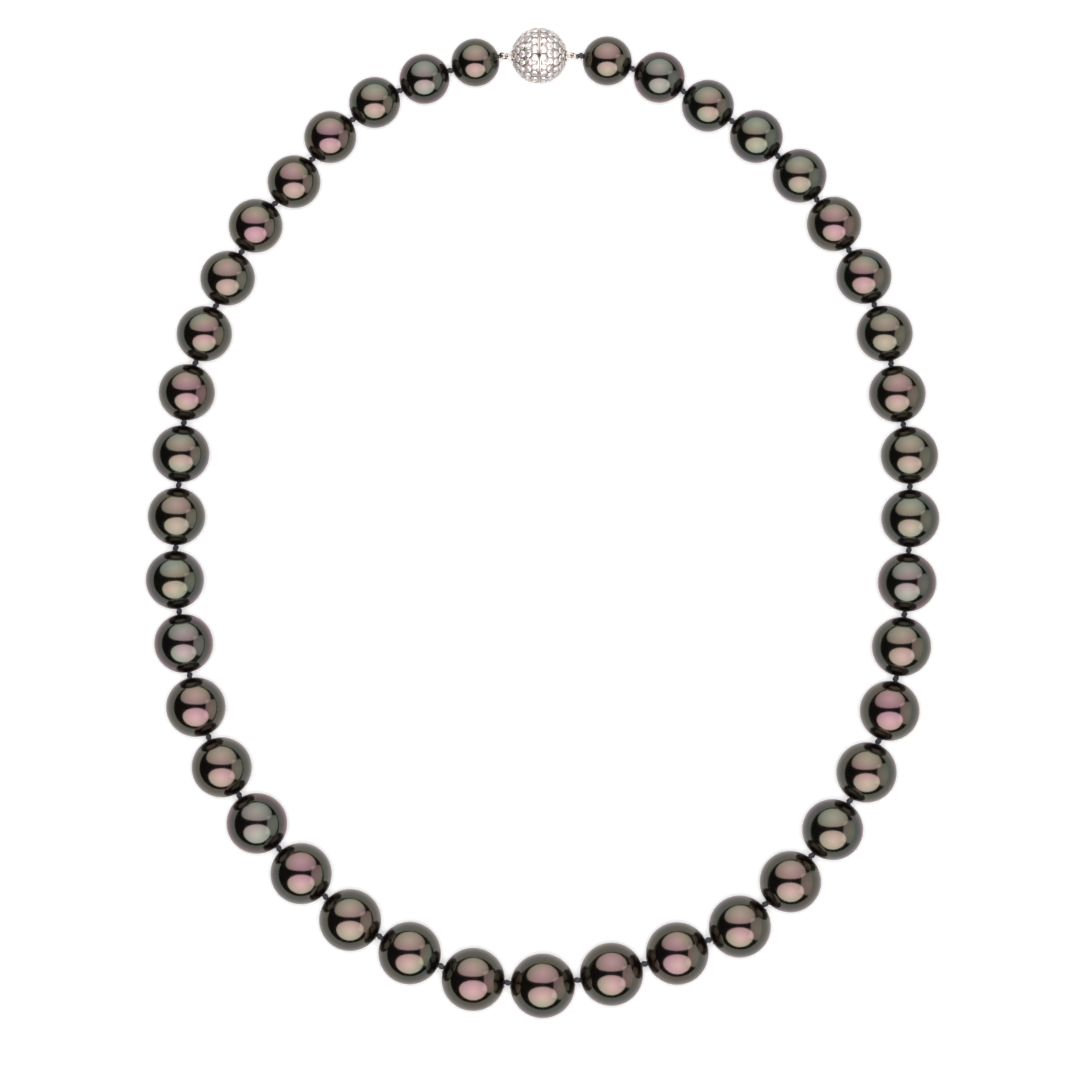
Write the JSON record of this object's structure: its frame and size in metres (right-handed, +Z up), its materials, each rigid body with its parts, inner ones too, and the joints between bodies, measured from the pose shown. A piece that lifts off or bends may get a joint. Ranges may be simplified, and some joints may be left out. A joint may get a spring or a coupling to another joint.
{
  "type": "pearl necklace",
  "caption": "Graduated single strand of round dark pearls, knotted on black silk, laid flat in an oval and closed by a jewelled ball clasp.",
  "frame": {"origin": "middle of the bounding box, on the surface that the pearls rest on", "axes": "+Y along the oval's long axis, towards the clasp; +X to the right with the clasp at the top; +Z up from the surface"},
  "size_m": [0.1352, 0.1684, 0.011],
  "materials": {
    "pearl_aubergine": "polished dark nacre with a aubergine overtone",
    "pearl_peacock": "polished dark nacre with a peacock overtone",
    "pearl_bronze": "polished dark nacre with a bronze overtone",
    "pearl_pistachio": "polished dark nacre with a pistachio overtone",
    "pearl_silver": "polished dark nacre with a silver overtone",
    "white_gold": "polished warm white gold",
    "black_silk": "twisted black silk thread",
    "clear_diamond": "round brilliant-cut clear stones"
  },
  "bodies": {
    "clasp_left_half": {"clasp_shell_left": "white_gold", "clasp_keyhole_plate": "white_gold", "eyelet_left": "white_gold", "silk_thread": "black_silk"},
    "clasp_right_half": {"clasp_shell_right": "white_gold", "clasp_bayonet_post": "white_gold", "eyelet_right": "white_gold"},
    "jump_ring_left": {"jump_ring_left": "white_gold"},
    "jump_ring_right": {"jump_ring_right": "white_gold"},
    "pearl_left_01": {"pearl_left_01": "pearl_bronze"},
    "pearl_left_02": {"pearl_left_02": "pearl_silver"},
    "pearl_left_03": {"pearl_left_03": "pearl_bronze"},
    "pearl_left_04": {"pearl_left_04": "pearl_aubergine"},
    "pearl_left_05": {"pearl_left_05": "pearl_aubergine"},
    "pearl_left_06": {"pearl_left_06": "pearl_aubergine"},
    "pearl_left_07": {"pearl_left_07": "pearl_bronze"},
    "pearl_left_08": {"pearl_left_08": "pearl_bronze"},
    "pearl_left_09": {"pearl_left_09": "pearl_aubergine"},
    "pearl_left_10": {"pearl_left_10": "pearl_peacock"},
    "pearl_left_11": {"pearl_left_11": "pearl_bronze"},
    "pearl_left_12": {"pearl_left_12": "pearl_pistachio"},
    "pearl_left_13": {"pearl_left_13": "pearl_silver"},
    "pearl_left_14": {"pearl_left_14": "pearl_bronze"},
    "pearl_left_15": {"pearl_left_15": "pearl_aubergine"},
    "pearl_left_16": {"pearl_left_16": "pearl_silver"},
    "pearl_left_17": {"pearl_left_17": "pearl_aubergine"},
    "pearl_left_18": {"pearl_left_18": "pearl_bronze"},
    "pearl_left_19": {"pearl_left_19": "pearl_peacock"},
    "pearl_left_20": {"pearl_left_20": "pearl_bronze"},
    "pearl_centre": {"pearl_centre": "pearl_bronze"},
    "pearl_right_20": {"pearl_right_20": "pearl_aubergine"},
    "pearl_right_19": {"pearl_right_19": "pearl_aubergine"},
    "pearl_right_18": {"pearl_right_18": "pearl_bronze"},
    "pearl_right_17": {"pearl_right_17": "pearl_bronze"},
    "pearl_right_16": {"pearl_right_16": "pearl_peacock"},
    "pearl_right_15": {"pearl_right_15": "pearl_aubergine"},
    "pearl_right_14": {"pearl_right_14": "pearl_aubergine"},
    "pearl_right_13": {"pearl_right_13": "pearl_bronze"},
    "pearl_right_12": {"pearl_right_12": "pearl_silver"},
    "pearl_right_11": {"pearl_right_11": "pearl_peacock"},
    "pearl_right_10": {"pearl_right_10": "pearl_bronze"},
    "pearl_right_09": {"pearl_right_09": "pearl_bronze"},
    "pearl_right_08": {"pearl_right_08": "pearl_peacock"},
    "pearl_right_07": {"pearl_right_07": "pearl_peacock"},
    "pearl_right_06": {"pearl_right_06": "pearl_aubergine"},
    "pearl_right_05": {"pearl_right_05": "pearl_pistachio"},
    "pearl_right_04": {"pearl_right_04": "pearl_pistachio"},
    "pearl_right_03": {"pearl_right_03": "pearl_peacock"},
    "pearl_right_02": {"pearl_right_02": "pearl_silver"},
    "pearl_right_01": {"pearl_right_01": "pearl_bronze"}
  },
  "joints": [
    {"name": "ring_left_swing", "type": "hinge", "parent": "clasp_left_half", "child": "jump_ring_left", "pos_m": [-0.00631, 0.07954, 0.0047], "axis": [0, 0.7431, -0.6691], "range_deg": [0, 20], "deforming": ["silk_thread"]},
    {"name": "knot_left_01_bend", "type": "hinge", "parent": "jump_ring_left", "child": "pearl_left_01", "pos_m": [-0.00713, 0.07954, 0.0041], "axis": [0, 0, -1], "range_deg": [0, 30], "deforming": ["silk_thread"]},
    {"name": "knot_left_02_lift", "type": "hinge", "parent": "pearl_left_01", "child": "pearl_left_02", "pos_m": [-0.01567, 0.07705, 0.00418], "axis": [0.3098, -0.9508, 0], "range_deg": [-30, 30], "deforming": ["silk_thread"]},
    {"name": "knot_left_03_bend", "type": "hinge", "parent": "pearl_left_02", "child": "pearl_left_03", "pos_m": [-0.02428, 0.07363, 0.00432], "axis": [0, 0, -1], "range_deg": [0, 30], "deforming": ["silk_thread"]},
    {"name": "knot_left_04_lift", "type": "hinge", "parent": "pearl_left_03", "child": "pearl_left_04", "pos_m": [-0.03232, 0.06869, 0.00441], "axis": [-0.6152, 0.7883, 0], "range_deg": [-30, 30], "deforming": ["silk_thread"]},
    {"name": "knot_left_05_bend", "type": "hinge", "parent": "pearl_left_04", "child": "pearl_left_05", "pos_m": [-0.03918, 0.06194, 0.0045], "axis": [0, 0, -1], "range_deg": [0, 30], "deforming": ["silk_thread"]},
    {"name": "knot_left_06_lift", "type": "hinge", "parent": "pearl_left_05", "child": "pearl_left_06", "pos_m": [-0.04553, 0.05438, 0.00457], "axis": [0.7541, -0.6568, 0], "range_deg": [-30, 30], "deforming": ["silk_thread"]},
    {"name": "knot_left_07_bend", "type": "hinge", "parent": "pearl_left_06", "child": "pearl_left_07", "pos_m": [-0.05119, 0.04618, 0.00465], "axis": [0, 0, -1], "range_deg": [0, 30], "deforming": ["silk_thread"]},
    {"name": "knot_left_08_lift", "type": "hinge", "parent": "pearl_left_07", "child": "pearl_left_08", "pos_m": [-0.05555, 0.03699, 0.00471], "axis": [-0.9222, 0.3868, 0], "range_deg": [-30, 30], "deforming": ["silk_thread"]},
    {"name": "knot_left_09_bend", "type": "hinge", "parent": "pearl_left_08", "child": "pearl_left_09", "pos_m": [-0.05903, 0.02728, 0.00478], "axis": [0, 0, -1], "range_deg": [0, 30], "deforming": ["silk_thread"]},
    {"name": "knot_left_10_lift", "type": "hinge", "parent": "pearl_left_09", "child": "pearl_left_10", "pos_m": [-0.06101, 0.01706, 0.00484], "axis": [0.9956, -0.094, 0], "range_deg": [-30, 30], "deforming": ["silk_thread"]},
    {"name": "knot_left_11_bend", "type": "hinge", "parent": "pearl_left_10", "child": "pearl_left_11", "pos_m": [-0.06188, 0.00649, 0.0049], "axis": [0, 0, -1], "range_deg": [0, 30], "deforming": ["silk_thread"]},
    {"name": "knot_left_12_lift", "type": "hinge", "parent": "pearl_left_11", "child": "pearl_left_12", "pos_m": [-0.06239, -0.00423, 0.00496], "axis": [-0.9997, 0.0252, 0], "range_deg": [-30, 30], "deforming": ["silk_thread"]},
    {"name": "knot_left_13_bend", "type": "hinge", "parent": "pearl_left_12", "child": "pearl_left_13", "pos_m": [-0.06179, -0.01503, 0.00502], "axis": [0, 0, -1], "range_deg": [0, 30], "deforming": ["silk_thread"]},
    {"name": "knot_left_14_lift", "type": "hinge", "parent": "pearl_left_13", "child": "pearl_left_14", "pos_m": [-0.06001, -0.02586, 0.00507], "axis": [0.9821, 0.1882, 0], "range_deg": [-30, 30], "deforming": ["silk_thread"]},
    {"name": "knot_left_15_bend", "type": "hinge", "parent": "pearl_left_14", "child": "pearl_left_15", "pos_m": [-0.05678, -0.03639, 0.00513], "axis": [0, 0, -1], "range_deg": [0, 30], "deforming": ["silk_thread"]},
    {"name": "knot_left_16_lift", "type": "hinge", "parent": "pearl_left_15", "child": "pearl_left_16", "pos_m": [-0.05158, -0.04628, 0.00518], "axis": [-0.8464, -0.5325, 0], "range_deg": [-30, 30], "deforming": ["silk_thread"]},
    {"name": "knot_left_17_bend", "type": "hinge", "parent": "pearl_left_16", "child": "pearl_left_17", "pos_m": [-0.04483, -0.05532, 0.00523], "axis": [0, 0, -1], "range_deg": [0, 30], "deforming": ["silk_thread"]},
    {"name": "knot_left_18_lift", "type": "hinge", "parent": "pearl_left_17", "child": "pearl_left_18", "pos_m": [-0.0369, -0.06354, 0.00528], "axis": [0.6876, 0.7261, 0], "range_deg": [-30, 30], "deforming": ["silk_thread"]},
    {"name": "knot_left_19_bend", "type": "hinge", "parent": "pearl_left_18", "child": "pearl_left_19", "pos_m": [-0.02767, -0.0703, 0.00533], "axis": [0, 0, -1], "range_deg": [0, 30], "deforming": ["silk_thread"]},
    {"name": "knot_left_20_lift", "type": "hinge", "parent": "pearl_left_19", "child": "pearl_left_20", "pos_m": [-0.01721, -0.07535, 0.00538], "axis": [-0.3823, -0.924, 0], "range_deg": [-30, 30], "deforming": ["silk_thread"]},
    {"name": "clasp_pull", "type": "slide", "parent": "clasp_left_half", "child": "jump_ring_right", "axis": [1, 0, 0], "range_m": [0, 0.008], "deforming": ["silk_thread"]},
    {"name": "clasp_twist", "type": "hinge", "parent": "jump_ring_right", "child": "clasp_right_half", "pos_m": [-0.00056, 0.07954, 0.0047], "axis": [1, 0, 0], "range_deg": [0, 45]},
    {"name": "knot_right_01_bend", "type": "hinge", "parent": "jump_ring_right", "child": "pearl_right_01", "pos_m": [0.00608, 0.07954, 0.0042], "axis": [0, 0, 1], "range_deg": [0, 30], "deforming": ["silk_thread"]},
    {"name": "knot_right_02_lift", "type": "hinge", "parent": "pearl_right_01", "child": "pearl_right_02", "pos_m": [0.0154, 0.07731, 0.00428], "axis": [0.3024, 0.9532, 0], "range_deg": [-30, 30], "deforming": ["silk_thread"]},
    {"name": "knot_right_03_bend", "type": "hinge", "parent": "pearl_right_02", "child": "pearl_right_03", "pos_m": [0.02399, 0.07349, 0.0044], "axis": [0, 0, 1], "range_deg": [0, 30], "deforming": ["silk_thread"]},
    {"name": "knot_right_04_lift", "type": "hinge", "parent": "pearl_right_03", "child": "pearl_right_04", "pos_m": [0.03225, 0.06844, 0.00449], "axis": [-0.5378, -0.8431, 0], "range_deg": [-30, 30], "deforming": ["silk_thread"]},
    {"name": "knot_right_05_bend", "type": "hinge", "parent": "pearl_right_04", "child": "pearl_right_05", "pos_m": [0.04005, 0.06248, 0.00457], "axis": [0, 0, 1], "range_deg": [0, 30], "deforming": ["silk_thread"]},
    {"name": "knot_right_06_lift", "type": "hinge", "parent": "pearl_right_05", "child": "pearl_right_06", "pos_m": [0.04667, 0.05504, 0.00464], "axis": [0.8126, 0.5828, 0], "range_deg": [-30, 30], "deforming": ["silk_thread"]},
    {"name": "knot_right_07_bend", "type": "hinge", "parent": "pearl_right_06", "child": "pearl_right_07", "pos_m": [0.05214, 0.04649, 0.00471], "axis": [0, 0, 1], "range_deg": [0, 30], "deforming": ["silk_thread"]},
    {"name": "knot_right_08_lift", "type": "hinge", "parent": "pearl_right_07", "child": "pearl_right_08", "pos_m": [0.05645, 0.03717, 0.00477], "axis": [-0.9396, -0.3422, 0], "range_deg": [-30, 30], "deforming": ["silk_thread"]},
    {"name": "knot_right_09_bend", "type": "hinge", "parent": "pearl_right_08", "child": "pearl_right_09", "pos_m": [0.0593, 0.02715, 0.00483], "axis": [0, 0, 1], "range_deg": [0, 30], "deforming": ["silk_thread"]},
    {"name": "knot_right_10_lift", "type": "hinge", "parent": "pearl_right_09", "child": "pearl_right_10", "pos_m": [0.06139, 0.01679, 0.00489], "axis": [0.9811, 0.1934, 0], "range_deg": [-30, 30], "deforming": ["silk_thread"]},
    {"name": "knot_right_11_bend", "type": "hinge", "parent": "pearl_right_10", "child": "pearl_right_11", "pos_m": [0.0625, 0.0062, 0.00494], "axis": [0, 0, 1], "range_deg": [0, 30], "deforming": ["silk_thread"]},
    {"name": "knot_right_12_lift", "type": "hinge", "parent": "pearl_right_11", "child": "pearl_right_12", "pos_m": [0.0623, -0.00461, 0.005], "axis": [-0.9987, 0.0505, 0], "range_deg": [-30, 30], "deforming": ["silk_thread"]},
    {"name": "knot_right_13_bend", "type": "hinge", "parent": "pearl_right_12", "child": "pearl_right_13", "pos_m": [0.06156, -0.01552, 0.00505], "axis": [0, 0, 1], "range_deg": [0, 30], "deforming": ["silk_thread"]},
    {"name": "knot_right_14_lift", "type": "hinge", "parent": "pearl_right_13", "child": "pearl_right_14", "pos_m": [0.06008, -0.02644, 0.0051], "axis": [0.9832, -0.1823, 0], "range_deg": [-30, 30], "deforming": ["silk_thread"]},
    {"name": "knot_right_15_bend", "type": "hinge", "parent": "pearl_right_14", "child": "pearl_right_15", "pos_m": [0.0571, -0.03714, 0.00515], "axis": [0, 0, 1], "range_deg": [0, 30], "deforming": ["silk_thread"]},
    {"name": "knot_right_16_lift", "type": "hinge", "parent": "pearl_right_15", "child": "pearl_right_16", "pos_m": [0.05225, -0.04725, 0.0052], "axis": [-0.8607, 0.5091, 0], "range_deg": [-30, 30], "deforming": ["silk_thread"]},
    {"name": "knot_right_17_bend", "type": "hinge", "parent": "pearl_right_16", "child": "pearl_right_17", "pos_m": [0.04578, -0.05654, 0.00525], "axis": [0, 0, 1], "range_deg": [0, 30], "deforming": ["silk_thread"]},
    {"name": "knot_right_18_lift", "type": "hinge", "parent": "pearl_right_17", "child": "pearl_right_18", "pos_m": [0.03788, -0.06478, 0.00529], "axis": [0.6638, -0.7479, 0], "range_deg": [-30, 30], "deforming": ["silk_thread"]},
    {"name": "knot_right_19_bend", "type": "hinge", "parent": "pearl_right_18", "child": "pearl_right_19", "pos_m": [0.02826, -0.07089, 0.00534], "axis": [0, 0, 1], "range_deg": [0, 30], "deforming": ["silk_thread"]},
    {"name": "knot_right_20_lift", "type": "hinge", "parent": "pearl_right_19", "child": "pearl_right_20", "pos_m": [0.01734, -0.07495, 0.00538], "axis": [-0.3014, 0.9535, 0], "range_deg": [-30, 30], "deforming": ["silk_thread"]},
    {"name": "knot_centre_bend", "type": "hinge", "parent": "pearl_right_20", "child": "pearl_centre", "pos_m": [0.00594, -0.07769, 0.00547], "axis": [0, 0, 1], "range_deg": [0, 30], "deforming": ["silk_thread"]}
  ]
}
